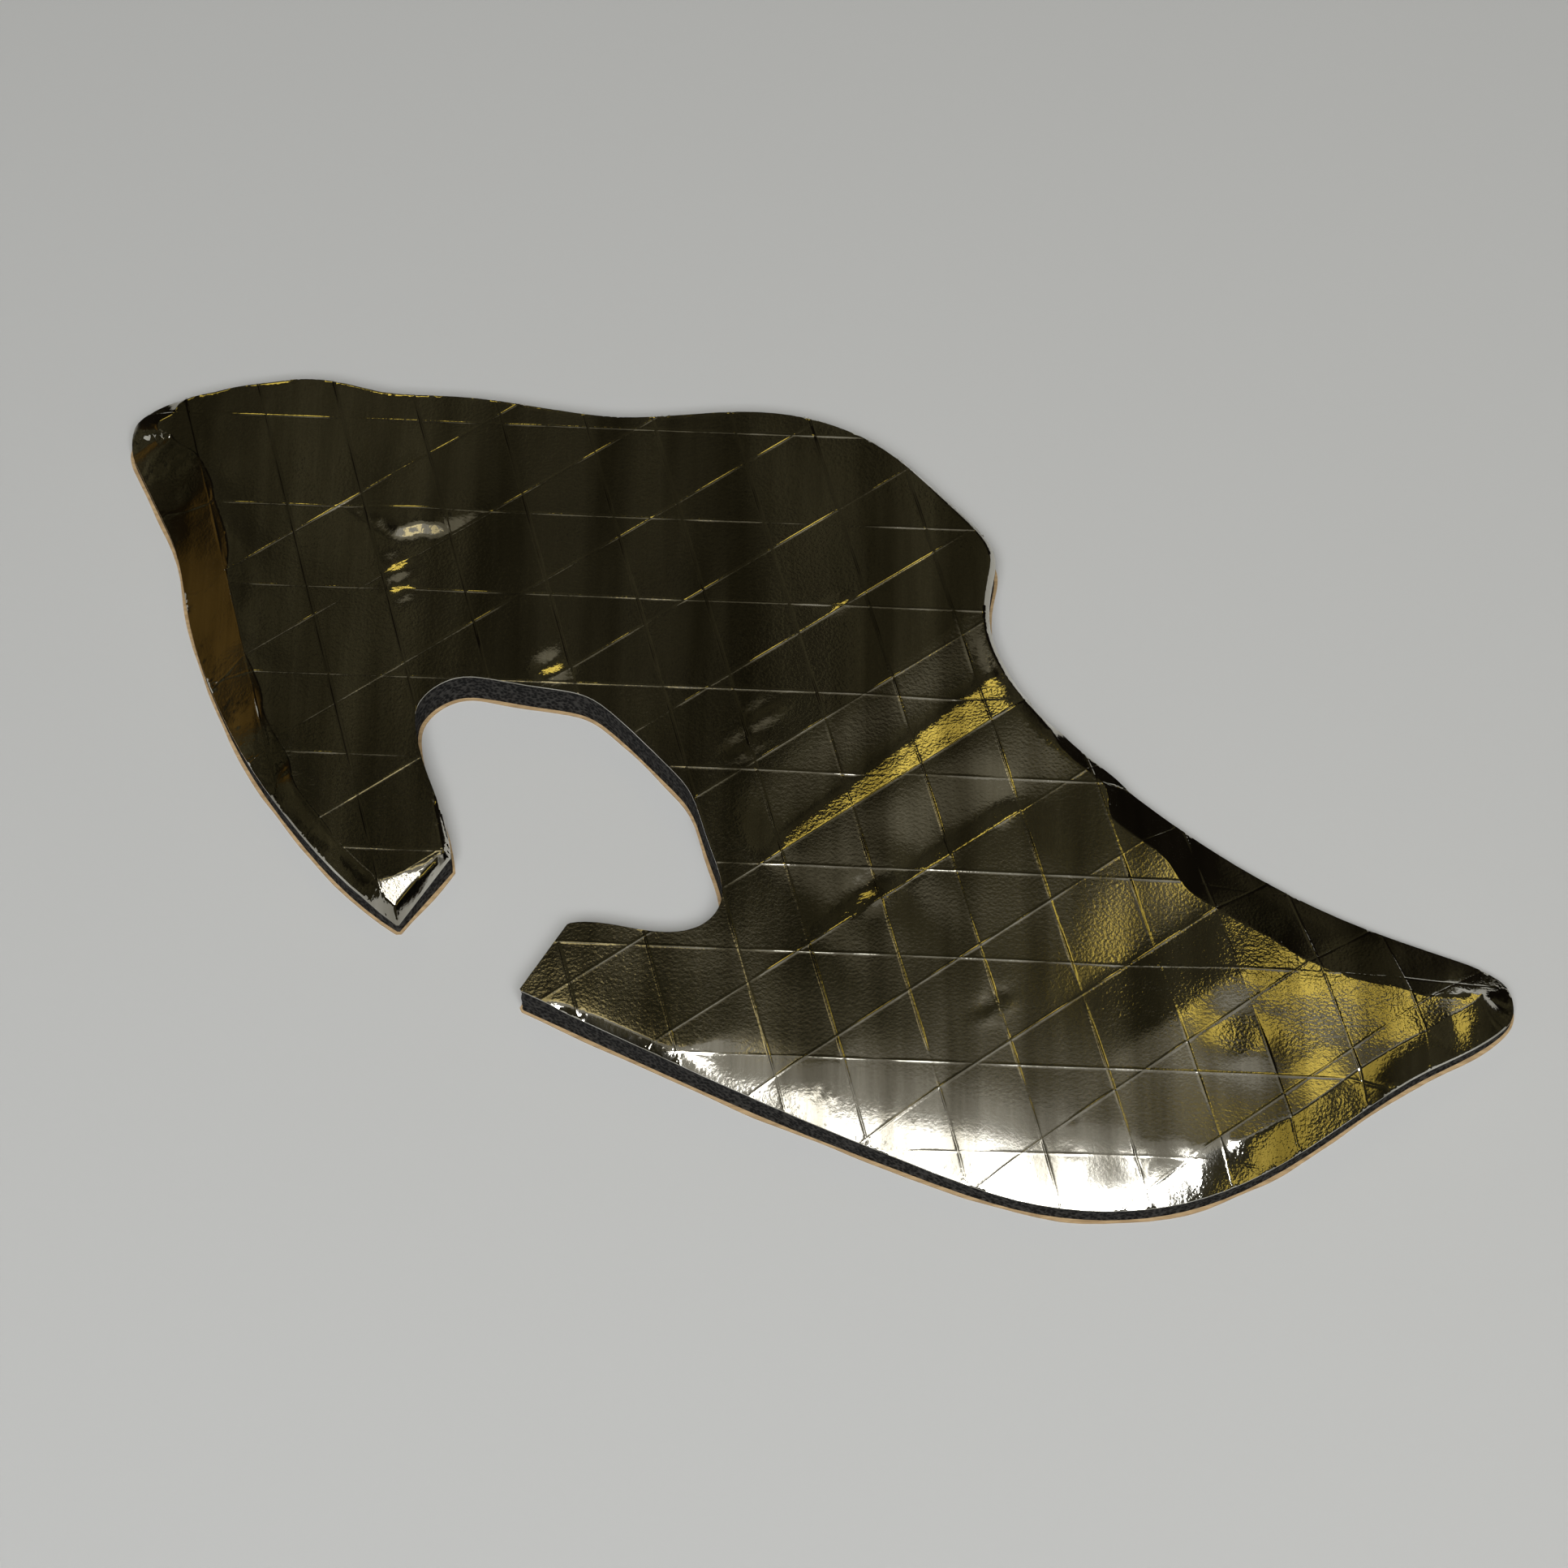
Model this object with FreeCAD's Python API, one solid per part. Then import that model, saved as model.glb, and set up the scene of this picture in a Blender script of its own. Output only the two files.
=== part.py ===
import FreeCAD, Part
import os

from FreeCAD import Vector

# Heat insulation pad: a foil-faced foam sheet with a peel-off paper back
# It is cut to a free outline with a C-shaped notch
# Millimetres: +X runs along the pad, +Y across it and +Z up
# The paper lies on Z = 0 and the pad is centred over the origin

# Thickness of the three bonded layers
paper_thickness = 0.25
foam_thickness = 6.35
foil_thickness = 0.25

# The paper stands proud of the foam all round
paper_lip = 0.6

# Scrim: three families of yarn that show through the foil as ridges
ridge_width = 0.5
ridge_height = 0.2
warp_pitch = 12.5
falling_weft_pitch = 16.1
rising_weft_pitch = 15.8
warp_angle = -75.3
falling_weft_angle = -2.6
rising_weft_angle = 35.3
warp_start = -93.2
falling_weft_start = -66.3
rising_weft_start = -90.4

# Laid yarns wander a little from their even pitch
warp_wander = (0.0, 0.0, -0.2, -0.4, -0.5, 0.2, 1.2, -0.5, -0.2, -0.1, 0.3, 0.9, -0.1, -0.1, -0.7)
falling_weft_wander = (0.7, -1.2, 0.7, -0.2, 0.7, -0.7, -0.2, -0.6, 0.9)
rising_weft_wander = (0.4, 0.0, 0.0, 0.1, -0.3, -0.2, -0.2, -0.5, -0.5, 0.1, 0.5, 0.3)

# Foam left at the cut edge, where cutting squeezed it, by stretch of the outline
lower_left_edge = 3.4
left_edge = 1.2
tip_edge = 1.6
far_edge = 5.0
upper_right_edge = 2.6
right_edge = 2.8
front_edge = 3.2
mouth_edge = 5.6
notch_edge = 6.1
lobe_edge = 4.0

# Width over which the foil rolls down to the cut edge, by stretch of the outline
lower_left_roll = 7.0
left_roll = 9.5
tip_roll = 6.0
far_roll = 1.2
upper_right_roll = 8.0
right_roll = 8.0
front_roll = 14.0
mouth_roll = 3.0
notch_roll = 0.8
lobe_roll = 3.0

# Section of the roll: shares of its width at which it is taken, and how fast it levels out
roll_shares = (0.0, 0.25, 0.6, 1.0)
roll_power = 1.6

# Upper corner of the notch's mouth
mouth_corner = (-35.4, -28.6)

# Outline, clockwise from the tip of the left lobe: foam edge, roll width and points of each stretch
stretches = (
    (lobe_edge, lobe_roll, ((-62.2, -26.8),)),
    (lower_left_edge, lower_left_roll, ((-70.5, -20.0), (-79.5, -9.5), (-87.5, 2.2))),
    (left_edge, left_roll, ((-94.0, 15.3), (-99.0, 29.5), (-102.6, 44.5), (-106.0, 52.0))),
    (tip_edge, tip_roll, ((-109.5, 59.3), (-111.0, 64.5), (-107.2, 69.3), (-101.2, 72.1))),
    (far_edge, far_roll, ((-88.5, 75.2), (-82.0, 75.8), (-75.8, 75.0), (-69.2, 73.3), (-56.0, 72.1),
                          (-43.0, 70.1), (-29.6, 68.0), (-16.4, 68.7), (-3.3, 68.8), (9.4, 65.0), (15.1, 61.4),
                          (25.0, 51.3), (29.6, 46.0), (32.7, 40.2), (32.0, 33.5), (31.8, 25.0), (34.4, 17.5),
                          (38.1, 11.4), (47.1, 1.5))),
    (upper_right_edge, upper_right_roll, ((57.0, -7.0), (72.3, -18.4), (88.4, -27.3))),
    (tip_edge, tip_roll, ((99.8, -31.7), (105.5, -34.0), (109.8, -37.6), (110.8, -42.1), (107.6, -46.0))),
    (right_edge, right_roll, ((96.3, -52.4), (80.2, -63.4), (69.6, -70.0))),
    (front_edge, front_roll, ((58.4, -74.4), (46.7, -75.8), (35.1, -74.5), (18.5, -68.8))),
    (mouth_edge, mouth_roll, ((-3.3, -59.5), (-25.6, -48.7), (-42.6, -40.2))),
    (notch_edge, notch_roll, (mouth_corner, (-25.5, -29.4), (-18.0, -30.0), (-14.0, -28.4), (-11.6, -24.5),
                              (-11.9, -20.0), (-14.2, -12.7), (-17.2, -4.2), (-20.3, -0.3), (-29.2, 9.3),
                              (-33.0, 12.3), (-41.1, 14.3), (-49.2, 15.9), (-53.8, 16.2), (-57.8, 14.4),
                              (-60.6, 10.5), (-60.6, 6.5), (-58.3, -2.0))),
    (lobe_edge, lobe_roll, ((-54.2, -16.0),)),
)


def ring():
    """Return outline points, foam edge heights and roll widths, blended from stretch to stretch."""
    points = []
    edges = []
    rolls = []
    for edge, roll, stretch in stretches:
        for x, y in stretch:
            points.append(Vector(x, y, 0))
            edges.append(edge)
            rolls.append(roll)
    return points, blended(edges), blended(rolls)


def blended(values):
    """Ease each value towards its two neighbours round the ring."""
    count = len(values)
    return [0.25 * values[i - 1] + 0.5 * values[i] + 0.25 * values[(i + 1) % count] for i in range(count)]


outline, edge_heights, roll_widths = ring()
lobe_tip = 0
mouth_upper = outline.index(Vector(*mouth_corner, 0))
mouth_lower = mouth_upper - 1
lobe_corner = len(outline) - 1


def inward(index):
    """Return the step that moves both sides of the outline at a point inwards by one millimetre."""
    point = outline[index]
    before = (point - outline[index - 1]).normalize()
    after = (outline[(index + 1) % len(outline)] - point).normalize()
    normal_before = Vector(before.y, -before.x, 0)
    normal_after = Vector(after.y, -after.x, 0)
    return (normal_before + normal_after) / (1 + normal_before.dot(normal_after))


inward_steps = [inward(i) for i in range(len(outline))]


def chord_parameters(points):
    """Return the running chord length along some points, from 0 to 1."""
    lengths = [0.0]
    for start, end in zip(points, points[1:]):
        lengths.append(lengths[-1] + start.distanceToPoint(end))
    return [length / lengths[-1] for length in lengths]


def runs(points):
    """Return the four edges of the outline: outer sweep, mouth side, notch and lobe end."""
    sweep = slice(lobe_tip, mouth_lower + 1)
    notch = slice(mouth_upper, lobe_corner + 1)
    edges = []
    for part in (sweep, notch):
        curve = Part.BSplineCurve()
        curve.interpolate(Points=points[part], Parameters=chord_parameters(outline[part]))
        edges.append(curve.toShape())
    mouth = Part.makeLine(points[mouth_lower], points[mouth_upper])
    lobe_end = Part.makeLine(points[lobe_corner], points[lobe_tip])
    return [edges[0], mouth, edges[1], lobe_end]


def level_runs(inset, height):
    """Return the outline's edges moved inwards by an inset and laid flat at a height."""
    return runs([point + step * inset + Vector(0, 0, height) for point, step in zip(outline, inward_steps)])


def roll_runs(share, lift):
    """Return the edges of the rolled surface at a share of its width, lifted off the foam."""
    rise = 1 - (1 - share) ** roll_power
    points = []
    for point, step, edge, roll in zip(outline, inward_steps, edge_heights, roll_widths):
        height = paper_thickness + edge + (foam_thickness - edge) * rise + lift
        points.append(point + step * roll * share + Vector(0, 0, height))
    return runs(points)


def band(lower, upper):
    """Return the ruled faces between two sets of edges."""
    return [Part.makeRuledSurface(a, b) for a, b in zip(lower, upper)]


def rolled_top(lift):
    """Return the faces of the flat top and its rolled edge, lifted off the foam."""
    rows = [roll_runs(share, lift) for share in roll_shares]
    faces = []
    for lower, upper in zip(rows, rows[1:]):
        faces += band(lower, upper)
    faces.append(Part.Face(Part.Wire(rows[-1])))
    return faces


def closed(faces):
    """Sew faces into one solid."""
    skin = Part.Compound(faces)
    skin.sewShape()
    solid = Part.Solid(skin.Shells[0])
    if solid.Volume < 0:
        solid.reverse()
    return solid


def layer(low, high):
    """Return the solid between the rolled top lifted by two amounts."""
    rim = band(roll_runs(roll_shares[0], low), roll_runs(roll_shares[0], high))
    return closed(rolled_top(low) + rim + rolled_top(high))


def backing_paper():
    sheet = Part.Face(Part.Wire(level_runs(-paper_lip, 0)))
    return sheet.extrude(Vector(0, 0, paper_thickness))


def foam_core():
    base = level_runs(0, paper_thickness)
    side = band(base, roll_runs(roll_shares[0], 0))
    return closed([Part.Face(Part.Wire(base))] + side + rolled_top(0))


def yarn_bars(angle, pitch, start, wander, height):
    """Return flat bars on the yarn lines of one family, long enough to cross the pad."""
    reach = Part.Wire(level_runs(0, 0)).BoundBox.DiagonalLength
    bars = []
    for k, shift in enumerate(wander):
        offset = start + pitch * k + shift
        corner = Vector(-reach / 2, offset - ridge_width / 2, height)
        bar = Part.makePlane(reach, ridge_width, corner)
        bar.rotate(Vector(0, 0, 0), Vector(0, 0, 1), angle)
        bars.append(bar)
    return bars


def foil_facing():
    top = Part.Face(Part.Wire(roll_runs(roll_shares[-1], foil_thickness)))
    height = top.BoundBox.ZMax
    bars = yarn_bars(warp_angle, warp_pitch, warp_start, warp_wander, height)
    bars += yarn_bars(falling_weft_angle, falling_weft_pitch, falling_weft_start, falling_weft_wander, height)
    bars += yarn_bars(rising_weft_angle, rising_weft_pitch, rising_weft_start, rising_weft_wander, height)
    net = bars[0].fuse(bars[1:]).removeSplitter().common(top)
    ridges = net.extrude(Vector(0, 0, ridge_height))
    return layer(0, foil_thickness).fuse(ridges.Solids).removeSplitter()


pieces = {
    "backing_paper": backing_paper(),
    "foam_core": foam_core(),
    "foil_facing": foil_facing(),
}

# Centre the pad over the origin
spread = pieces["backing_paper"].optimalBoundingBox(False, False)
centring = Vector(-spread.Center.x, -spread.Center.y, 0)

os.makedirs("parts", exist_ok=True)
for name, shape in pieces.items():
    shape.translate(centring)
    shape.exportStep("parts/" + name + ".step")
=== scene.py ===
import math

import bpy
import numpy as np
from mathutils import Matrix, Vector, noise
from mathutils.bvhtree import BVHTree
from mathutils.geometry import delaunay_2d_cdt


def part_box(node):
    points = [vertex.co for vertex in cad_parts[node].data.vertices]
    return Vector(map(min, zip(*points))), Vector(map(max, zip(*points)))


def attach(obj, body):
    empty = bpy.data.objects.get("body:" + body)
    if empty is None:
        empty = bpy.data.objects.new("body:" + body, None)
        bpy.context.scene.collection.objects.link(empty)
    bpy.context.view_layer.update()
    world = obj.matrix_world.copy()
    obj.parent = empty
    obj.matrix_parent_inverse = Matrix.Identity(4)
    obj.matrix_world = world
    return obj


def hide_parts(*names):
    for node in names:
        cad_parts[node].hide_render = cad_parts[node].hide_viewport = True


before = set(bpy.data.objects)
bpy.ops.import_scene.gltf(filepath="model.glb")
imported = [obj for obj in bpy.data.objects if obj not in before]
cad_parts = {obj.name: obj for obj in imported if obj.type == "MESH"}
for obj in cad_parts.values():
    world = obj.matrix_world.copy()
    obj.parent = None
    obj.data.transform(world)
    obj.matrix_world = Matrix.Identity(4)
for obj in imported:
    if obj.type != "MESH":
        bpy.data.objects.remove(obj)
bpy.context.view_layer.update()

# Heat insulation pad: foil on foam on release paper, dressed over its three solids
# Sizes are in millimetres and are turned to metres where a mesh or a pattern is made
MM = 0.001

# Layers, as the solids have them
foil_thickness = 0.25
foam_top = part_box("foam_core")[1][2] / MM
paper_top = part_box("backing_paper")[1][2] / MM
paper_lip = 0.6

# Scrim yarns by family: angle of its normal, pitch, first place, ridge height and each yarn's wander
warp = (14.7, 12.5, -93.1, 0.075,
        (0.0, 0.0, -0.2, -0.4, -0.5, 0.2, 1.2, -0.5, -0.2, -0.1, 0.3, 0.9, -0.1, -0.1, -0.7))
falling_weft = (87.4, 16.1, -66.3, 0.065, (0.7, -1.2, 0.7, -0.2, 0.7, -0.7, -0.2, -0.6, 0.9))
rising_weft = (125.3, 15.8, -90.4, 0.065, (0.4, 0.0, 0.0, 0.1, -0.3, -0.2, -0.2, -0.5, -0.5, 0.1, 0.5, 0.3))
yarn_families = (warp, falling_weft, rising_weft)
ridge_spread = 0.13

# Pull of the foil over the yarns: mean share of the ridge height, swing, its wave length and its limits
pull_mean = 0.75
pull_swing = 1.2
pull_length = 6.0
pull_limits = (0.15, 1.4)

# Wefts stand out less on the left, and one rising yarn is snagged
left_weft_share = 0.5
left_weft_span = (-60.0, 20.0)
snag_place = (-75.5, 49.3)
snag_pull = 1.2
snag_reach = 3.742

# Foil's roll at places round the edge: x, y, width, and how fast it levels out
roll_places = (
    (-62.0, -27.0, 1.5, 1.2), (-70.5, -20.0, 3.0, 1.2), (-79.5, -9.5, 3.5, 1.2), (-87.5, 2.2, 5.5, 1.1),
    (-94.0, 15.3, 7.0, 1.0), (-99.0, 29.5, 7.5, 1.0), (-102.6, 44.5, 8.5, 1.0), (-106.0, 52.0, 9.5, 1.0),
    (-111.0, 64.5, 7.0, 1.0), (-107.2, 69.3, 3.0, 1.0), (-101.0, 72.0, 0.9, 1.0), (-94.0, 74.5, 0.9, 1.0),
    (-80.0, 75.5, 0.9, 1.0), (-56.0, 72.0, 0.9, 1.0), (-30.0, 68.0, 0.9, 1.0), (-3.0, 68.8, 0.9, 1.0),
    (15.0, 61.4, 0.9, 1.0), (32.0, 33.0, 0.9, 1.0), (38.0, 11.0, 0.9, 1.0), (48.0, 0.5, 2.5, 1.0),
    (57.0, -7.0, 7.0, 1.0), (72.0, -18.4, 10.0, 1.0), (88.0, -27.3, 11.0, 1.0), (100.0, -32.0, 10.0, 1.0),
    (106.0, -35.0, 9.0, 1.0), (110.0, -40.0, 7.0, 1.0), (107.0, -46.0, 5.0, 1.0), (96.0, -52.0, 4.5, 1.0),
    (80.0, -63.0, 4.5, 1.0), (72.0, -68.6, 5.0, 1.1), (64.0, -72.6, 6.5, 1.3), (57.0, -74.6, 9.0, 1.6),
    (46.0, -75.8, 14.0, 2.2), (35.0, -74.5, 20.0, 2.8), (10.0, -65.0, 21.0, 3.0), (-5.0, -58.5, 11.0, 2.4),
    (-25.0, -49.0, 1.5, 1.2), (-42.0, -40.0, 0.5, 1.0), (-35.0, -28.6, 0.4, 1.0), (-14.0, -28.0, 0.4, 1.0),
    (-12.0, -21.0, 0.4, 1.0), (-14.2, -12.7, 0.4, 1.0), (-33.0, 12.0, 0.4, 1.0), (-56.0, 15.0, 0.4, 1.0),
    (-58.0, -2.0, 0.4, 1.0), (-54.0, -16.0, 1.0, 1.0),
)

roll_blend_reach = 1.5
roll_blend_power = 4

# A roll that levels out no faster than this, and is wider than this, starts at a bend that the mesh follows
bent_roll_power = 1.25
bent_roll_width = 1.2

# Rim of the roll: the steepest fall where the right half faces back, where the left tip begins and its
# least height, and the width of roll below which the edge is cut square
back_slope = 0.5
back_facing = (0.0, 0.4)
back_roll_width = (0.9, 1.4)
left_tip = -85.0
left_tip_edge = 5.2
left_tip_facing = (0.0, 0.5)
square_cut = 0.6
rim_smoothings = 6

# Creases along yarns of the rising family: place across, start and end along, width at each end, slope
creases = (
    (-11.6, -12.0, 42.0, 2.0, 8.0, 0.21),
    (-27.8, 3.0, 24.0, 2.5, 3.5, 0.14),
    (-27.8, -13.0, -2.0, 3.0, 2.5, 0.13),
)
crease_run_out = 12.0
crease_run_in = 18.0
crease_end_fade = (-3.0, 4.0)
flank_start = (-0.3, 0.3)
flank_end_shares = (0.6, 1.3)

# Buckled patches whose foil is crumpled: x, y, reach down the slope, reach across it, slope
buckles = (
    (72.0, -33.0, 9.0, 8.0, 0.02),
    (76.5, -44.0, 7.0, 4.5, -0.03),
    (86.0, -39.5, 9.0, 7.0, 0.03),
    (101.0, -42.5, 3.5, 10.0, 0.03),
    (68.0, -48.0, 3.0, 3.0, 0.1),
    (103.0, -48.0, 2.5, 2.0, 0.1),
    (68.0, -69.0, 3.0, 12.0, 0.0),
    (82.5, -60.5, 2.5, 5.0, 0.0),
    (57.0, -38.0, 6.0, 10.0, 0.08),
    (-65.0, 37.5, 0.8, 1.3, 0.25),
    (-64.4, 33.0, 0.8, 1.3, 0.25),
    (-39.0, 17.8, 1.0, 1.8, 0.25),
    (-8.0, 3.5, 0.6, 2.0, 0.23),
    (-5.0, 9.5, 0.6, 2.0, 0.23),
    (7.0, 30.0, 0.5, 1.5, 0.23),
    (30.4, -43.0, 0.7, 2.0, 0.21),
    (11.4, -23.2, 1.0, 2.0, 0.22),
)
buckle_fade = 4.0
buckle_core = (0.25, 0.8)

# Tip of the lobe, bent down beyond a line: angle of the line's normal, its place, slope, run and region
fold_angle = 113.5
fold_place = 6.5
fold_slope = 0.29
fold_run = 8.0
lobe_corner = (-48.0, -8.0)

# Pinched fold at the upper left: place, height, half width, run-out behind and before it, bow and wobble
pinch_place = (-62.0, 45.0)
pinch_height = 0.6
pinch_half_width = 7.5
pinch_behind = 14.0
pinch_before = 1.2
pinch_bow = 0.04
pinch_wobble = 1.0
pinch_wobble_length = 3.0

# Waves of the foil as height, length and seed
# Ripples run where it is crumpled, swells all over and slack beyond a slanting line on the left
ripples = ((0.1, 7.0, 5.0), (0.05, 2.2, 6.0))
long_swell = (0.16, 42.0, 11.0)
short_swell = (0.08, 14.0, 17.0)
slack = (0.3, 11.0, 23.0)
slack_lean = 0.24
slack_span = (74.0, 82.0)
edge_fade = 3.0
long_edge_fade = 8.0

# Scuffed front, and the far edge worn through to the coating in places
scuff_place = (34.0, -66.0)
scuff_reach = (44.0, 30.0)
worn_from = 40.0
worn_facing = 0.3
worn_width = (0.3, 0.8)
worn_length = 5.0
worn_share = (0.1, 0.4)

# Mesh of the foil: points along a yarn, rows across its ridge in spreads, rows along the edge, and the fill
outline_step = 0.6
yarn_reach = 135.0
yarn_step = 0.35
inner_yarn_every = 5
near_edge = 1.6
edge_gap = 0.2
longest_link = 1.9
ridge_rows = (-3.6, -2.0, -0.9, 0.0, 0.9, 2.0, 3.6)
bend_rows = (-0.25, 0.0, 0.25)
foil_edge_rows = (0.25, 0.5, 0.9, 1.3, 1.9, 2.5, 3.2, 4.2, 5.5)
edge_row_clearance = 0.75
row_kept_share = 0.93
foil_fill = 1.1
foil_fill_margin = 0.5
foil_fill_clearance = 0.9

# Cut wall of the foam: rows down it, depth and size of its torn cells, and the gap left under the foil
foam_fill = 3.0
foam_fill_margin = 1.5
wall_rows = 9
torn_depth = 0.25
torn_size = 0.9
foam_gap = 0.03
foam_inner_gap = 0.4
foam_gap_span = (0.5, 2.0)

# Release paper: fill of its mesh, and the mean and swing of its uneven lip as shares, with their wave length
paper_fill = 4.0
paper_fill_margin = 2.0
lip_mean = 0.8
lip_swing = 0.5
lip_length = 9.0

# Camera fitted to the scrim lines in the photo, for a square frame
frame_pixels = 1932
focal_pixels = 4966.0
camera_elevation = 60.0
camera_distance = 637.6
camera_target = (-1.78, -3.69, 6.9)

# Lamps: place, target, width and depth in metres, watts and colour
# The warm ones give the foil its gold patches
lamps = (
    ("overhead", (-0.03, -0.3, 0.8), (-0.03, -0.3, 0.0), 0.16, 0.6, 1.05, "#ffffff"),
    ("overhead_dim", (0.05, -0.175, 0.82), (0.05, -0.175, 0.0), 0.7, 0.85, 0.28, "#ffffff"),
    ("front_fill", (0.0, -0.85, 1.35), (0.0, 0.0, 0.0), 1.0, 0.6, 24.5, "#fafcff"),
    ("warm_back", (-0.424, 1.5825, 1.1472), (0.0, 0.0, 0.0), 0.55, 0.4, 0.72, "#ffe26a"),
    ("warm_side", (-0.063, 0.0956, 0.364), (0.05, -0.045, 0.007), 0.06, 0.05, 0.0057, "#ffe9a0"),
    ("warm_near", (0.136, 0.133, 0.316), (0.076, -0.036, 0.007), 0.06, 0.06, 0.0095, "#ffe26a"),
    ("warm_edge", (0.3, -0.238, 0.2), (0.073, -0.067, 0.005), 0.12, 0.07, 0.016, "#ffe26a"),
)

chance = np.random.default_rng(7)


# Outline


def open_sides(faces):
    """Return the sides that only one face has, in that face's direction."""
    sides = {}
    for face in faces:
        for a, b in zip(face, face[1:] + face[:1]):
            if (b, a) in sides:
                del sides[(b, a)]
            else:
                sides[(a, b)] = True
    return list(sides)


def lower_outline(mesh):
    """Return the closed outline of a mesh's lower face, in millimetres."""
    corners = np.array([v.co for v in mesh.vertices]) / MM
    low = corners[:, 2].min() + 0.01
    places = [tuple(np.round(c[:2], 2)) for c in corners]
    rings = []
    for face in mesh.polygons:
        if all(corners[i][2] < low for i in face.vertices):
            rings.append([places[i] for i in face.vertices])
    following = {a: b for a, b in open_sides(rings) if a != b}
    start = next(iter(following))
    loop = [start]
    while following[loop[-1]] != start:
        loop.append(following[loop[-1]])
    return np.array(loop)


def evenly(loop, step):
    """Return a closed loop's points at an even step along it."""
    shut = np.vstack([loop, loop[:1]])
    along = np.concatenate([[0], np.cumsum(np.hypot(*np.diff(shut, axis=0).T))])
    count = int(round(along[-1] / step))
    places = np.linspace(0, along[-1], count, endpoint=False)
    return np.stack([np.interp(places, along, shut[:, k]) for k in (0, 1)], axis=1)


def outward_normals(loop):
    """Return the outward normals of a loop."""
    along = np.roll(loop, -1, axis=0) - np.roll(loop, 1, axis=0)
    along /= np.linalg.norm(along, axis=1)[:, None]
    area = np.sum(loop[:, 0] * np.roll(loop[:, 1], -1) - np.roll(loop[:, 0], -1) * loop[:, 1])
    return np.stack([along[:, 1], -along[:, 0]], axis=1) * np.sign(area)


def eased(value, low, high):
    """Return 0 below low, 1 above high and a smooth step between."""
    share = np.clip((value - low) / (high - low), 0, 1)
    return share * share * (3 - 2 * share)


def roll_at(points):
    """Return the roll's width and levelling at points, eased between the named places."""
    places = np.array(roll_places)
    away = np.hypot(points[:, :1] - places[:, 0], points[:, 1:2] - places[:, 1])
    weight = 1 / (away + roll_blend_reach) ** roll_blend_power
    weight /= weight.sum(axis=1)[:, None]
    return weight @ places[:, 2], weight @ places[:, 3]


def cut_heights(mesh):
    """Return the height of the foam's cut edge at each outline point, read off its mesh and eased."""
    tree = BVHTree.FromPolygons([v.co for v in mesh.vertices], [p.vertices for p in mesh.polygons])
    just_inside = 0.03
    well_above = 50.0
    heights = []
    for x, y in outline - just_inside * outward:
        hit = tree.ray_cast(Vector((x, y, well_above)) * MM, Vector((0, 0, -1)))[0]
        heights.append(hit.z / MM if hit else heights[-1])
    heights = np.array(heights)
    facing_back = eased(outward[:, 1], *back_facing) * eased(roll_widths, *back_roll_width)
    facing_back *= outline[:, 0] > 0
    heights += facing_back * np.maximum(foam_top - back_slope * roll_widths - heights, 0)
    at_tip = eased(outward[:, 1], *left_tip_facing) * (outline[:, 0] < left_tip)
    heights += at_tip * np.maximum(left_tip_edge - heights, 0)
    heights = np.where(roll_widths < square_cut, foam_top, heights)
    for _ in range(rim_smoothings):
        heights = (np.roll(heights, 1) + 2 * heights + np.roll(heights, -1)) / 4
    return heights


foam_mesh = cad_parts["foam_core"].data
outline = evenly(lower_outline(foam_mesh), outline_step)
outward = outward_normals(outline)
roll_widths, roll_powers = roll_at(outline)
rim = cut_heights(foam_mesh)


def inside(points):
    """Say which points lie within the outline."""
    x, y = points[:, 0], points[:, 1]
    found = np.zeros(len(points), bool)
    after = np.roll(outline, -1, axis=0)
    for (x0, y0), (x1, y1) in zip(outline, after):
        if y0 != y1:
            crossing = (y0 > y) != (y1 > y)
            found ^= crossing & (x < (x1 - x0) * (y - y0) / (y1 - y0) + x0)
    return found


def to_edge(points):
    """Return each point's distance from the outline and the nearest outline point, a block at a time."""
    block_size = 2000
    distance = np.empty(len(points))
    nearest = np.empty(len(points), int)
    for start in range(0, len(points), block_size):
        block = slice(start, start + block_size)
        squares = ((points[block, None, :] - outline[None, :, :]) ** 2).sum(axis=2)
        nearest[block] = squares.argmin(axis=1)
        distance[block] = np.sqrt(squares.min(axis=1))
    return distance, nearest


# Foil's surface


def direction(angle):
    """Return the unit vector at an angle in degrees."""
    return np.array([math.cos(math.radians(angle)), math.sin(math.radians(angle))])


def yarn_places(family):
    """Return the unit normal of a yarn family and its yarns' places along it."""
    angle, pitch, start, _, wander = family
    return direction(angle), np.array([start + pitch * k + shift for k, shift in enumerate(wander)])


def from_yarn(points, family):
    """Return each point's distance from the nearest yarn of a family."""
    normal, places = yarn_places(family)
    return np.abs((points @ normal)[:, None] - places[None, :]).min(axis=1)


def waves(points, length, seed):
    """Return smooth noise of about unit height at a wave length in millimetres."""
    return np.array([noise.noise(Vector((x / length, y / length, seed))) for x, y in points])


def foam_rise(distance, nearest):
    """Return the height of the foam's top, rolled down to the cut edge."""
    share = np.clip(distance / roll_widths[nearest], 0, 1)
    edge = rim[nearest]
    return edge + (foam_top - edge) * (1 - (1 - share) ** roll_powers[nearest])


def scrim_rise(points):
    """Return the height that the yarns lift the foil, highest where they cross."""
    rise = np.zeros(len(points))
    for k, family in enumerate(yarn_families):
        away = from_yarn(points, family)
        pull = np.clip(pull_mean + pull_swing * waves(points, pull_length, 3.0 + k), *pull_limits)
        if family is not warp:
            pull *= left_weft_share + (1 - left_weft_share) * eased(points[:, 0], *left_weft_span)
        if family is rising_weft:
            pull += snag_pull * np.exp(-((points - np.array(snag_place)) ** 2).sum(axis=1) / snag_reach ** 2)
        rise = np.hypot(rise, family[3] * pull * np.exp(-(away / ridge_spread) ** 2))
    return rise


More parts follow.
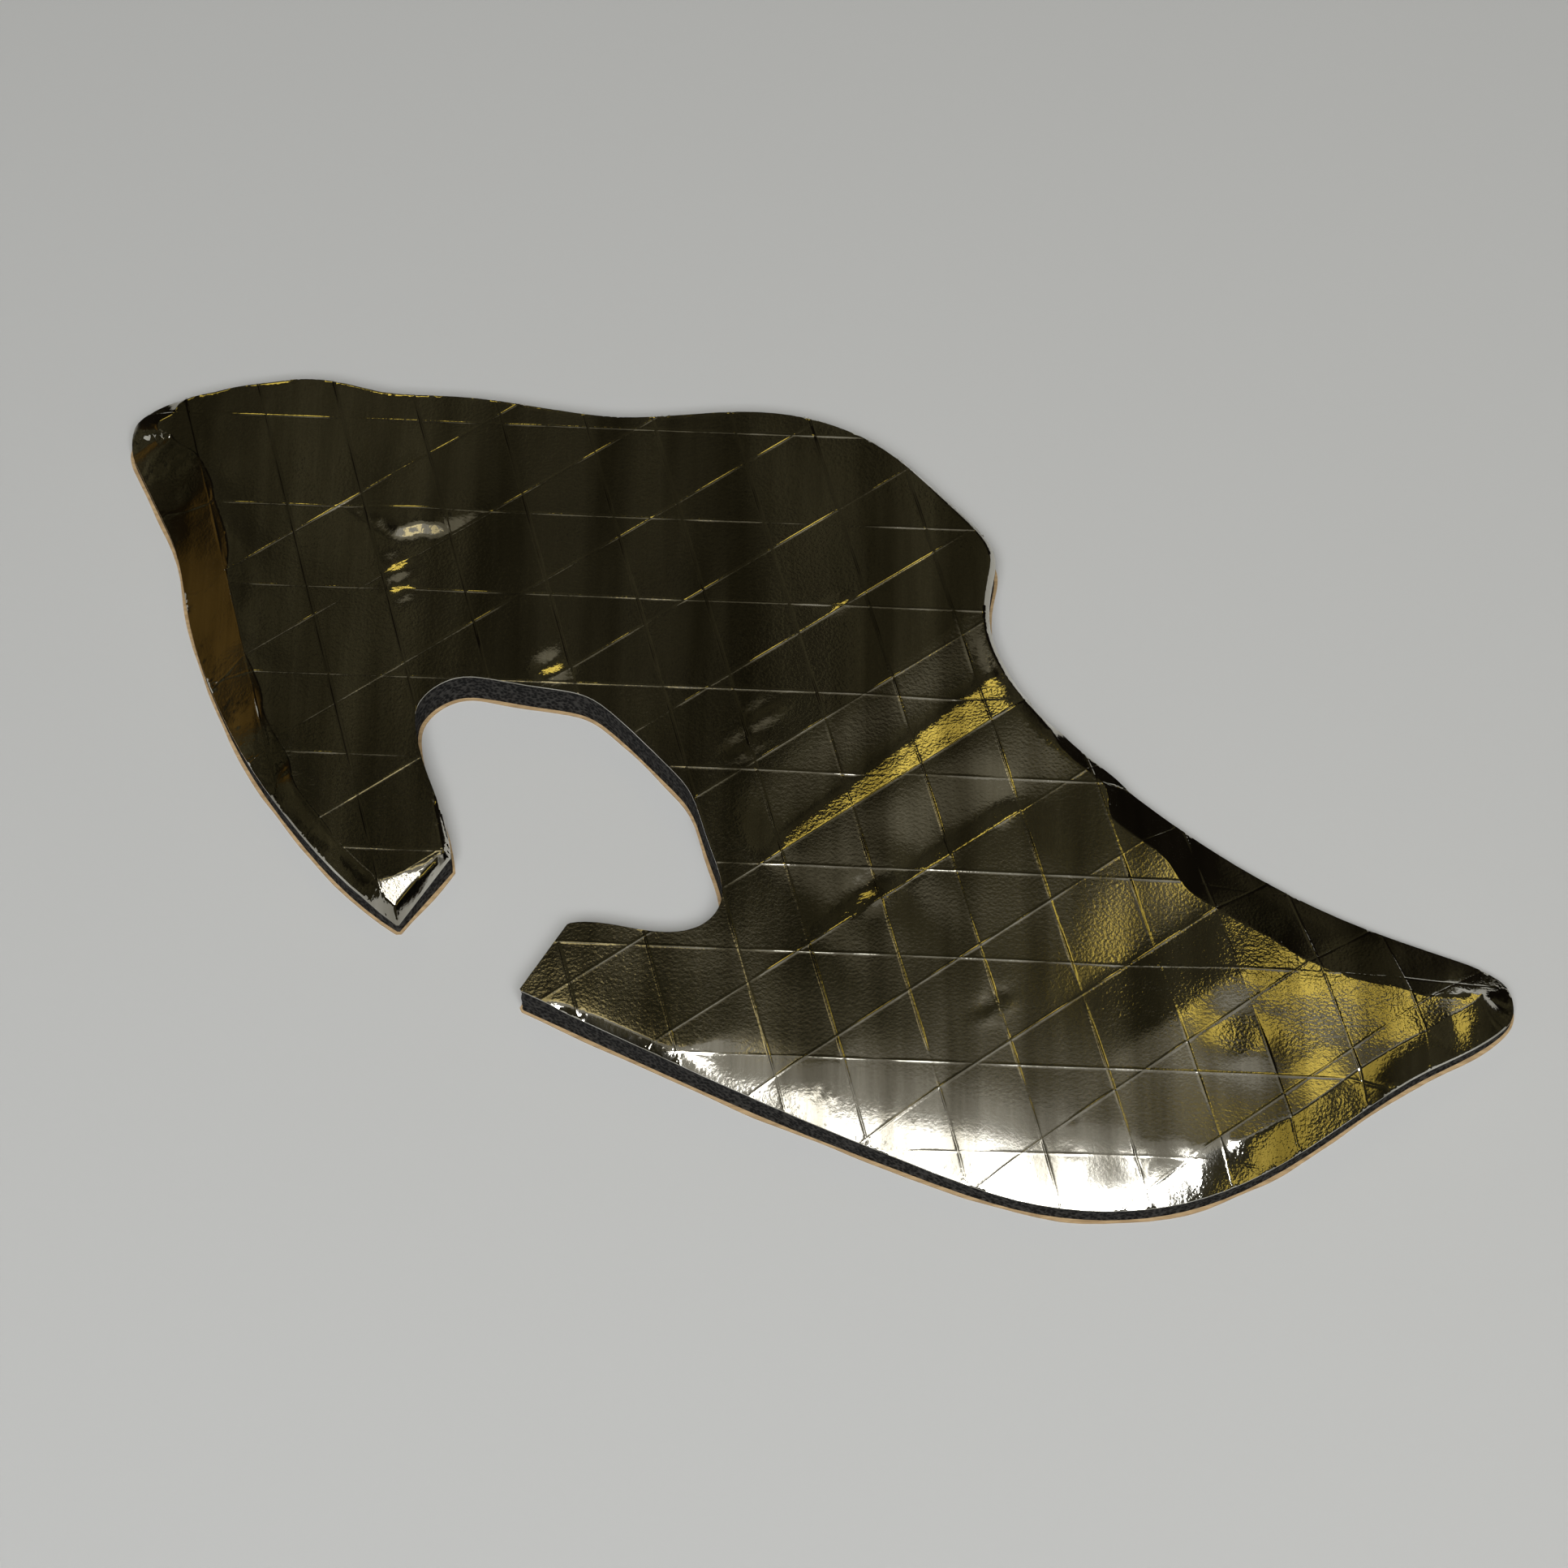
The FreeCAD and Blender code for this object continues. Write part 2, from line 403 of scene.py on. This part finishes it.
def crease_rise(points):
    """Return the height and the crumpling of the creases along the rising yarns."""
    over = points @ direction(rising_weft[0])
    along = points @ direction(rising_weft[0] - 90)
    rise = np.zeros(len(points))
    crumple = np.zeros(len(points))
    for place, start, end, width_start, width_end, slope in creases:
        share = np.clip((along - start) / (end - start), 0, 1)
        width = width_start + (width_end - width_start) * share
        hold = eased(along - start, *crease_end_fade) * (1 - eased(along - end, *crease_end_fade))
        step = over - place
        flank = slope * (width / 2 - np.clip(step, 0, width))
        beyond = 1 - eased(step - width, 0, crease_run_out)
        before = 1 - eased(-step, 0, crease_run_in)
        rise += hold * flank * np.where(step > 0, beyond, before)
        on_flank = eased(step, *flank_start) * (1 - eased(step / width, *flank_end_shares))
        crumple = np.maximum(crumple, hold * on_flank)
    return rise, crumple


def buckle_rise(points):
    """Return the height and the crumpling of the buckled patches."""
    down = direction(rising_weft[0])
    side = direction(rising_weft[0] - 90)
    rise = np.zeros(len(points))
    crumple = np.zeros(len(points))
    for x, y, reach_down, reach_side, slope in buckles:
        offset = points - np.array([x, y])
        t = -(offset @ down)
        s = offset @ side
        core = np.exp(-0.5 * ((t / reach_down) ** 2 + (s / reach_side) ** 2))
        hold = np.exp(-0.5 * (s / reach_side) ** 2)
        hold *= 1 - eased(np.abs(t), reach_down, buckle_fade * reach_down)
        rise += slope * np.clip(t, -reach_down, reach_down) * hold
        crumple = np.maximum(crumple, eased(core, *buckle_core))
    return rise, crumple


def lobe_fold(points):
    """Return how far the lobe's tip is bent down past its last rising yarn."""
    over = points @ direction(fold_angle)
    at_lobe = (points < np.array(lobe_corner)).all(axis=1)
    return np.where(at_lobe, fold_slope * np.clip(fold_place - over, 0, fold_run), 0)


def pinch_rise(points):
    """Return the height of the pinched fold, steep on its near side."""
    away = points - np.array(pinch_place)
    step = away[:, 1] - pinch_bow * away[:, 0] ** 2 + pinch_wobble * waves(points, pinch_wobble_length, 31.0)
    run = np.where(step > 0, pinch_behind, pinch_before)
    return pinch_height * np.exp(-(away[:, 0] / pinch_half_width) ** 2 - (step / run) ** 2)


def wave_rise(points, wave):
    """Return the height of one wave of the foil."""
    height, length, seed = wave
    return height * waves(points, length, seed)


def foil_surface(points, distance, nearest):
    """Return the height of the foil's outer face and its crumpling at points."""
    clear = np.clip(distance / edge_fade, 0, 1)
    far_in = np.clip(distance / long_edge_fade, 0, 1)
    creased, crease_crumple = crease_rise(points)
    buckled, buckle_crumple = buckle_rise(points)
    crumple = np.maximum(crease_crumple, buckle_crumple)
    at_left = eased(-points[:, 0] - slack_lean * points[:, 1], *slack_span)
    height = foam_rise(distance, nearest) + foil_thickness + scrim_rise(points) - lobe_fold(points)
    height += clear * (creased + buckled) + pinch_rise(points)
    height += clear * crumple * sum(wave_rise(points, wave) for wave in ripples)
    height += far_in * wave_rise(points, long_swell) + clear * wave_rise(points, short_swell)
    height += clear * at_left * wave_rise(points, slack)
    return height, crumple


def scuffing(points, crumple):
    """Return how far the foil is scuffed at points."""
    away = (points - np.array(scuff_place)) / np.array(scuff_reach)
    return np.exp(-(away ** 2).sum(axis=1)) * (1 - crumple)


def wearing(points, distance, nearest):
    """Return how far the foil is worn at points along its far edge."""
    far_side = (outward[nearest, 1] > worn_facing) & (points[:, 1] > worn_from)
    patches = eased(waves(points, worn_length, 41.0), *worn_share)
    return far_side * (1 - eased(distance, *worn_width)) * patches


# Meshes


def yarn_lines():
    """Return points and edges of the lines that hold the mesh to each ridge."""
    points = []
    edges = []
    reach = np.arange(-yarn_reach, yarn_reach, yarn_step)
    for family in yarn_families:
        normal, places = yarn_places(family)
        along = np.array([-normal[1], normal[0]])
        for place in places:
            for row in ridge_rows:
                line = (place + row * ridge_spread) * normal + reach[:, None] * along
                line = line[inside(line)]
                distance = to_edge(line)[0]
                inner = np.arange(len(line)) % inner_yarn_every == 0
                line = line[(distance > edge_gap) & ((distance < near_edge) | inner)]
                for k, point in enumerate(line):
                    points.append(point)
                    if k and np.hypot(*(point - line[k - 1])) < longest_link:
                        edges.append((len(points) - 2, len(points) - 1))
    return points, edges


def bend_lines():
    """Return points and edges of the lines that hold the mesh to the bend where a straight roll begins."""
    points = []
    edges = []
    for row in bend_rows:
        before = False
        for place, normal, width, power in zip(outline, outward, roll_widths, roll_powers):
            held = power < bent_roll_power and width > bent_roll_width
            if held:
                points.append(place - normal * (width + row))
                if before:
                    edges.append((len(points) - 2, len(points) - 1))
            before = held
    points = np.array(points)
    distance, nearest = to_edge(points)
    sound = inside(points) & (distance > 0.9 * roll_widths[nearest] - 0.5)
    names = {k: n for n, k in enumerate(np.flatnonzero(sound))}
    return list(points[sound]), [(names[a], names[b]) for a, b in edges if a in names and b in names]


def edge_rows(insets):
    """Return rows of points that follow the outline at some insets."""
    rows = []
    for inset in insets:
        row = outline - outward * inset
        distance, _ = to_edge(row)
        rows.append(row[inside(row) & (distance > row_kept_share * inset)])
    return np.vstack(rows)


def fill_points(spacing, margin):
    """Return jittered points that fill the outline at a spacing, clear of its edge by a margin."""
    low = outline.min(axis=0)
    high = outline.max(axis=0)
    row_step = 0.866 * spacing
    jitter = 0.2 * spacing
    xs, ys = np.meshgrid(np.arange(low[0], high[0], spacing), np.arange(low[1], high[1], row_step))
    xs[1::2] += spacing / 2
    points = np.stack([xs.ravel(), ys.ravel()], axis=1)
    points += chance.uniform(-1, 1, points.shape) * jitter
    points = points[inside(points)]
    return points[to_edge(points)[0] > margin]


def clear_of_yarns(points, gap):
    """Return the points that are further than a gap from every yarn."""
    kept = np.ones(len(points), bool)
    for family in yarn_families:
        kept &= from_yarn(points, family) > gap
    return points[kept]


def triangulated(points, edges):
    """Return the points and triangles of a plan mesh that keeps the outline and the given edges."""
    count = len(outline)
    ring = [(k, (k + 1) % count) for k in range(count)]
    everything = [Vector(p) for p in outline] + [Vector(p) for p in points]
    held = ring + [(a + count, b + count) for a, b in edges]
    verts, _, faces, _, _, _ = delaunay_2d_cdt(everything, held, [list(range(count))], 1, 1e-4)
    return np.array([(v.x, v.y) for v in verts]), [tuple(f) for f in faces]


def shell(plan, faces, top, bottom, rows=1, relief=0.0):
    """Return vertices and faces of a closed sheet over a plan mesh, its cut side torn in rows to a relief."""
    count = len(plan)
    verts = [(x, y, z) for (x, y), z in zip(plan, top)]
    verts += [(x, y, z) for (x, y), z in zip(plan, bottom)]
    lower = [tuple(i + count for i in reversed(face)) for face in faces]
    sides = open_sides(faces)
    edge = sorted({a for a, _ in sides})
    nearest = to_edge(plan[edge])[1]
    column = {i: [i] for i in edge}
    for i, normal in zip(edge, outward[nearest]):
        x, y = plan[i]
        for row in range(1, rows):
            height = top[i] + (bottom[i] - top[i]) * row / rows
            dent = relief * (0.5 + 0.9 * noise.noise(Vector((x, y, height)) / torn_size))
            column[i].append(len(verts))
            verts.append((x - normal[0] * dent, y - normal[1] * dent, height))
        column[i].append(i + count)
    walls = []
    for a, b in sides:
        for row in range(rows):
            walls.append((column[b][row], column[a][row], column[a][row + 1], column[b][row + 1]))
    return verts, faces + lower + walls


def new_piece(name, verts, faces, material, smooth=True):
    """Return a new mesh object in the part's frame from vertices in millimetres."""
    mesh = bpy.data.meshes.new(name)
    mesh.from_pydata([tuple(c * MM for c in v) for v in verts], [], faces)
    mesh.validate()
    mesh.update()
    mesh.polygons.foreach_set("use_smooth", [smooth] * len(mesh.polygons))
    mesh.set_sharp_from_angle(angle=math.radians(50))
    mesh.materials.append(material)
    piece = bpy.data.objects.new(name, mesh)
    bpy.context.scene.collection.objects.link(piece)
    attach(piece, "root")
    return piece


def add_foil(material):
    """Add the foil facing: a thin sheet over the yarns, creases and buckles that rolls down at its edge."""
    points, edges = yarn_lines()
    bend_points, bend_edges = bend_lines()
    edges += [(a + len(points), b + len(points)) for a, b in bend_edges]
    points += bend_points
    points += list(clear_of_yarns(edge_rows(foil_edge_rows), edge_row_clearance))
    points += list(clear_of_yarns(fill_points(foil_fill, foil_fill_margin), foil_fill_clearance))
    plan, faces = triangulated(points, edges)
    distance, nearest = to_edge(plan)
    top, crumple = foil_surface(plan, distance, nearest)
    verts, faces = shell(plan, faces, top, top - foil_thickness)
    piece = new_piece("foil_sheet", verts, faces, material)
    marks = {"crumple": crumple, "scuff": scuffing(plan, crumple), "worn": wearing(plan, distance, nearest)}
    for name, values in marks.items():
        mark = piece.data.attributes.new(name, "FLOAT", "POINT")
        mark.data.foreach_set("value", np.tile(values, 2))
    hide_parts("foil_facing")
    return piece


def add_foam(material):
    """Add the foam core: it fills the space under the foil, with torn cells on its cut wall."""
    plan, faces = triangulated(fill_points(foam_fill, foam_fill_margin), [])
    distance, nearest = to_edge(plan)
    under_foil = foil_surface(plan, distance, nearest)[0] - foil_thickness
    top = np.minimum(foam_rise(distance, nearest), under_foil)
    top -= foam_gap + foam_inner_gap * eased(distance, *foam_gap_span)
    verts, faces = shell(plan, faces, top, np.full(len(plan), paper_top), wall_rows, torn_depth)
    piece = new_piece("foam_sheet", verts, faces, material)
    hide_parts("foam_core")
    return piece


def add_paper(material):
    """Add the release paper: a flat sheet whose lip round the foam is cut unevenly."""
    plan, faces = triangulated(fill_points(paper_fill, paper_fill_margin), [])
    distance, nearest = to_edge(plan)
    rimmed = distance < 0.01
    lip = paper_lip * (lip_mean + lip_swing * waves(plan[rimmed], lip_length, 51.0))
    plan[rimmed] += outward[nearest[rimmed]] * lip[:, None]
    verts, faces = shell(plan, faces, np.full(len(plan), paper_top), np.zeros(len(plan)))
    piece = new_piece("paper_sheet", verts, faces, material, smooth=False)
    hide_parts("backing_paper")
    return piece


# Materials


def colour(code):
    """Return the linear colour of an sRGB hex code."""
    parts = [int(code[k:k + 2], 16) / 255 for k in (1, 3, 5)]
    linear = [p / 12.92 if p <= 0.04045 else ((p + 0.055) / 1.055) ** 2.4 for p in parts]
    return (*linear, 1.0)


def add_node(tree, kind, settings=None, inputs=None):
    """Add a node with its settings, and its inputs as values or links."""
    node = tree.nodes.new(kind)
    for key, value in (settings or {}).items():
        setattr(node, key, value)
    for key, value in (inputs or {}).items():
        if isinstance(value, bpy.types.NodeSocket):
            tree.links.new(value, node.inputs[key])
        else:
            node.inputs[key].default_value = value
    return node


def blank_material(name):
    """Return a new material and its emptied node tree."""
    material = bpy.data.materials.new(name)
    material.use_nodes = True
    tree = material.node_tree
    tree.nodes.clear()
    return material, tree


def bright_rolled_foil():
    """Aluminium foil, cold rolled bright: a mirror with faint streaks along the rolling, and darker bands
    along it that are painted shade.
    """
    material, tree = blank_material("bright_rolled_foil")
    where = add_node(tree, "ShaderNodeTexCoord").outputs["Object"]
    rolling = (0, 0, math.radians(-warp[0]))
    # Rolling lines are finer than the render shows, so they are drawn 0.5 mm wide
    along = add_node(tree, "ShaderNodeMapping", None, {
        "Vector": where, "Rotation": rolling, "Scale": (1 / (0.5 * MM), 1 / (9 * MM), 1.0)})
    streaks = add_node(tree, "ShaderNodeTexNoise", None, {
        "Vector": along.outputs["Vector"], "Scale": 1.0, "Detail": 3.0})
    tone = add_node(tree, "ShaderNodeMix", {"data_type": "RGBA"}, {
        "Factor": streaks.outputs["Fac"], "A": colour("#e2dfd6"), "B": colour("#c9c5b8")})
    gloss = add_node(tree, "ShaderNodeMapRange", None, {
        "Value": streaks.outputs["Fac"], "From Min": 0.35, "From Max": 0.75, "To Min": 0.06, "To Max": 0.1})
    # The scuffed front spreads its highlights a little
    scuff = add_node(tree, "ShaderNodeAttribute", {"attribute_name": "scuff"}).outputs["Fac"]
    rough = add_node(tree, "ShaderNodeMath", {"operation": "MULTIPLY_ADD"}, {
        0: scuff, 1: 0.12, 2: gloss.outputs["Result"]})
    # Darker bands about 9 mm wide run with the rolling: painted shade that stands in for dark reflected bands
    broad = add_node(tree, "ShaderNodeMapping", None, {
        "Vector": where, "Rotation": rolling, "Scale": (1 / (9 * MM), 1 / (110 * MM), 1.0)})
    bands = add_node(tree, "ShaderNodeTexNoise", None, {
        "Vector": broad.outputs["Vector"], "Scale": 1.0, "Detail": 3.0})
    shade_bands = add_node(tree, "ShaderNodeMapRange", None, {
        "Value": bands.outputs["Fac"], "From Min": 0.42, "From Max": 0.64})
    # The mirror's colour is darkened in these bands as painted shade
    shaded_tone = add_node(tree, "ShaderNodeMix", {"data_type": "RGBA", "blend_type": "MULTIPLY"}, {
        "Factor": shade_bands.outputs["Result"], "A": tone.outputs["Result"], "B": colour("#bebcb6")})
    # Where the far edge is worn, the pale coating shows and the mirror is lost
    worn = add_node(tree, "ShaderNodeAttribute", {"attribute_name": "worn"}).outputs["Fac"]
    face = add_node(tree, "ShaderNodeMix", {"data_type": "RGBA"}, {
        "Factor": worn, "A": shaded_tone.outputs["Result"], "B": colour("#cfcdc6")})
    metal = add_node(tree, "ShaderNodeMath", {"operation": "SUBTRACT"}, {0: 1.0, 1: worn})
    # The foam's cells print through as a 0.5 mm crinkle, deeper where the foil is crumpled
    crumple = add_node(tree, "ShaderNodeAttribute", {"attribute_name": "crumple"}).outputs["Fac"]
    crinkle = add_node(tree, "ShaderNodeTexNoise", None, {
        "Vector": where, "Scale": 1 / (0.5 * MM), "Detail": 2.0})
    depth = add_node(tree, "ShaderNodeMapRange", None, {"Value": crumple, "To Min": 0.16, "To Max": 0.45})
    bump = add_node(tree, "ShaderNodeBump", None, {
        "Strength": depth.outputs["Result"], "Distance": 0.1 * MM, "Height": crinkle.outputs["Fac"]})
    shader = add_node(tree, "ShaderNodeBsdfPrincipled", None, {
        "Base Color": face.outputs["Result"], "Metallic": metal.outputs["Value"],
        "Roughness": rough.outputs["Value"], "Normal": bump.outputs["Normal"]})
    add_node(tree, "ShaderNodeOutputMaterial", None, {"Surface": shader.outputs["BSDF"]})
    return material


def black_open_cell_foam():
    """Open-cell foam, cut with a knife: matt black, its opened 0.6 mm cells a fine grain of paler specks."""
    material, tree = blank_material("black_open_cell_foam")
    where = add_node(tree, "ShaderNodeTexCoord").outputs["Object"]
    cells = add_node(tree, "ShaderNodeTexVoronoi", None, {"Vector": where, "Scale": 1 / (0.6 * MM)})
    grain = add_node(tree, "ShaderNodeMapRange", None, {
        "Value": cells.outputs["Distance"], "From Min": 0.35, "From Max": 0.75})
    tone = add_node(tree, "ShaderNodeMix", {"data_type": "RGBA"}, {
        "Factor": grain.outputs["Result"], "A": colour("#0d0c0b"), "B": colour("#3a3835")})
    bump = add_node(tree, "ShaderNodeBump", None, {
        "Strength": 0.8, "Distance": 0.3 * MM, "Height": cells.outputs["Distance"]})
    shader = add_node(tree, "ShaderNodeBsdfPrincipled", None, {
        "Base Color": tone.outputs["Result"], "Roughness": 1.0, "Specular IOR Level": 0.2,
        "Normal": bump.outputs["Normal"]})
    add_node(tree, "ShaderNodeOutputMaterial", None, {"Surface": shader.outputs["BSDF"]})
    return material


def kraft_release_paper():
    """Kraft release paper: tan, with paler and darker fibres and a slight sheen from its coating."""
    material, tree = blank_material("kraft_release_paper")
    where = add_node(tree, "ShaderNodeTexCoord").outputs["Object"]
    # Fibres are 3 mm long; they are finer than the render shows, so they are drawn 0.5 mm wide
    along = add_node(tree, "ShaderNodeMapping", None, {
        "Vector": where, "Scale": (1 / (3.0 * MM), 1 / (0.5 * MM), 1 / (0.5 * MM))})
    fibres = add_node(tree, "ShaderNodeTexNoise", None, {
        "Vector": along.outputs["Vector"], "Scale": 1.0, "Detail": 4.0})
    shade = add_node(tree, "ShaderNodeMapRange", None, {
        "Value": fibres.outputs["Fac"], "From Min": 0.3, "From Max": 0.7})
    tone = add_node(tree, "ShaderNodeMix", {"data_type": "RGBA"}, {
        "Factor": shade.outputs["Result"], "A": colour("#987d57"), "B": colour("#bfa278")})
    bump = add_node(tree, "ShaderNodeBump", None, {
        "Strength": 0.3, "Distance": 0.05 * MM, "Height": fibres.outputs["Fac"]})
    shader = add_node(tree, "ShaderNodeBsdfPrincipled", None, {
        "Base Color": tone.outputs["Result"], "Roughness": 0.55, "Normal": bump.outputs["Normal"]})
    add_node(tree, "ShaderNodeOutputMaterial", None, {"Surface": shader.outputs["BSDF"]})
    return material


def pale_grey_board():
    """Painted board under the pad: plain matt pale grey."""
    material, tree = blank_material("pale_grey_board")
    shader = add_node(tree, "ShaderNodeBsdfPrincipled", None, {
        "Base Color": colour("#bcbcba"), "Roughness": 0.9})
    add_node(tree, "ShaderNodeOutputMaterial", None, {"Surface": shader.outputs["BSDF"]})
    return material


# Stage


def add_floor(material):
    """Add the floor, a hair below the paper so that the two faces don't fight."""
    half = 4.0
    corners = [(-half, -half, 0), (half, -half, 0), (half, half, 0), (-half, half, 0)]
    mesh = bpy.data.meshes.new("floor")
    mesh.from_pydata(corners, [], [(0, 1, 2, 3)])
    mesh.materials.append(material)
    floor = bpy.data.objects.new("floor", mesh)
    floor.location.z = -0.02 * MM
    bpy.context.scene.collection.objects.link(floor)


def aim(thing, place, target):
    """Put a lamp or camera at a place and point it at a target."""
    thing.location = place
    thing.rotation_euler = (Vector(target) - Vector(place)).to_track_quat("-Z", "Y").to_euler()


def add_camera():
    """Add the camera at the photo's viewing angle."""
    data = bpy.data.cameras.new("camera")
    data.sensor_width = 36.0
    data.lens = data.sensor_width * focal_pixels / frame_pixels
    data.clip_start = 0.01
    camera = bpy.data.objects.new("camera", data)
    target = Vector(camera_target) * MM
    lift = math.radians(camera_elevation)
    back_off = Vector((0, -math.cos(lift), math.sin(lift))) * camera_distance * MM
    aim(camera, target + back_off, target)
    bpy.context.scene.collection.objects.link(camera)
    bpy.context.scene.camera = camera


def add_soft_box(name, place, target, width, depth, power, code):
    """Add a soft rectangular lamp."""
    data = bpy.data.lights.new(name, "AREA")
    data.shape = "RECTANGLE"
    data.size = width
    data.size_y = depth
    data.energy = power
    data.color = colour(code)[:3]
    lamp = bpy.data.objects.new(name, data)
    aim(lamp, place, target)
    bpy.context.scene.collection.objects.link(lamp)


def add_dim_room():
    """Add the world: a dim room, warm and uneven, with a brown glow low on the left."""
    world = bpy.data.worlds.new("dim_room")
    world.use_nodes = True
    tree = world.node_tree
    tree.nodes.clear()
    # Limits on X, Y and Z are parts of the unit vector that points into the room
    way = add_node(tree, "ShaderNodeTexCoord").outputs["Generated"]
    split = add_node(tree, "ShaderNodeSeparateXYZ", None, {"Vector": way})
    # Upright columns, darker and paler
    upright = add_node(tree, "ShaderNodeMapping", None, {"Vector": way, "Scale": (55.0, 5.0, 5.0)})
    columns = add_node(tree, "ShaderNodeTexNoise", None, {
        "Vector": upright.outputs["Vector"], "Scale": 1.0, "Detail": 2.0})
    patchy = add_node(tree, "ShaderNodeMapRange", None, {
        "Value": columns.outputs["Fac"], "From Min": 0.36, "From Max": 0.66})
    room = add_node(tree, "ShaderNodeMix", {"data_type": "RGBA"}, {
        "Factor": patchy.outputs["Result"], "A": colour("#14120d"), "B": colour("#45412f")})
    # Paler ceiling
    lifted = add_node(tree, "ShaderNodeMapRange", None, {
        "Value": split.outputs["Z"], "From Min": 0.885, "From Max": 0.92})
    ceiling = add_node(tree, "ShaderNodeMix", {"data_type": "RGBA"}, {
        "Factor": lifted.outputs["Result"], "A": room.outputs["Result"], "B": colour("#686456")})
    # Unlit corners at the back, on both sides
    aside = add_node(tree, "ShaderNodeMath", {"operation": "ABSOLUTE"}, {0: split.outputs["X"]})
    dimness = add_node(tree, "ShaderNodeMapRange", None, {
        "Value": aside.outputs["Value"], "From Min": 0.24, "From Max": 0.4})
    behind = add_node(tree, "ShaderNodeMapRange", None, {
        "Value": split.outputs["Y"], "From Min": 0.16, "From Max": 0.28})
    unlit = add_node(tree, "ShaderNodeMath", {"operation": "MULTIPLY"}, {
        0: dimness.outputs["Result"], 1: behind.outputs["Result"]})
    corners = add_node(tree, "ShaderNodeMix", {"data_type": "RGBA"}, {
        "Factor": unlit.outputs["Value"], "A": ceiling.outputs["Result"], "B": colour("#14110c")})
    # Brown glow low on the left
    leftness = add_node(tree, "ShaderNodeMapRange", None, {
        "Value": split.outputs["X"], "From Min": -0.66, "From Max": -0.9})
    lowness = add_node(tree, "ShaderNodeMapRange", None, {
        "Value": split.outputs["Z"], "From Min": 0.44, "From Max": 0.34, "To Min": 0.15})
    low_left = add_node(tree, "ShaderNodeMath", {"operation": "MULTIPLY"}, {
        0: leftness.outputs["Result"], 1: lowness.outputs["Result"]})
    warmth = add_node(tree, "ShaderNodeMath", {"operation": "MULTIPLY"}, {
        0: low_left.outputs["Value"], 1: behind.outputs["Result"]})
    glow = add_node(tree, "ShaderNodeMix", {"data_type": "RGBA"}, {
        "Factor": warmth.outputs["Value"], "A": corners.outputs["Result"], "B": colour("#4f3d1c")})
    back = add_node(tree, "ShaderNodeBackground", None, {"Color": glow.outputs["Result"], "Strength": 1.0})
    add_node(tree, "ShaderNodeOutputWorld", None, {"Surface": back.outputs["Background"]})
    bpy.context.scene.world = world


bpy.context.scene.view_settings.view_transform = "Standard"
add_foil(bright_rolled_foil())
add_foam(black_open_cell_foam())
add_paper(kraft_release_paper())
add_floor(pale_grey_board())
add_camera()
for lamp in lamps:
    add_soft_box(*lamp)
add_dim_room()
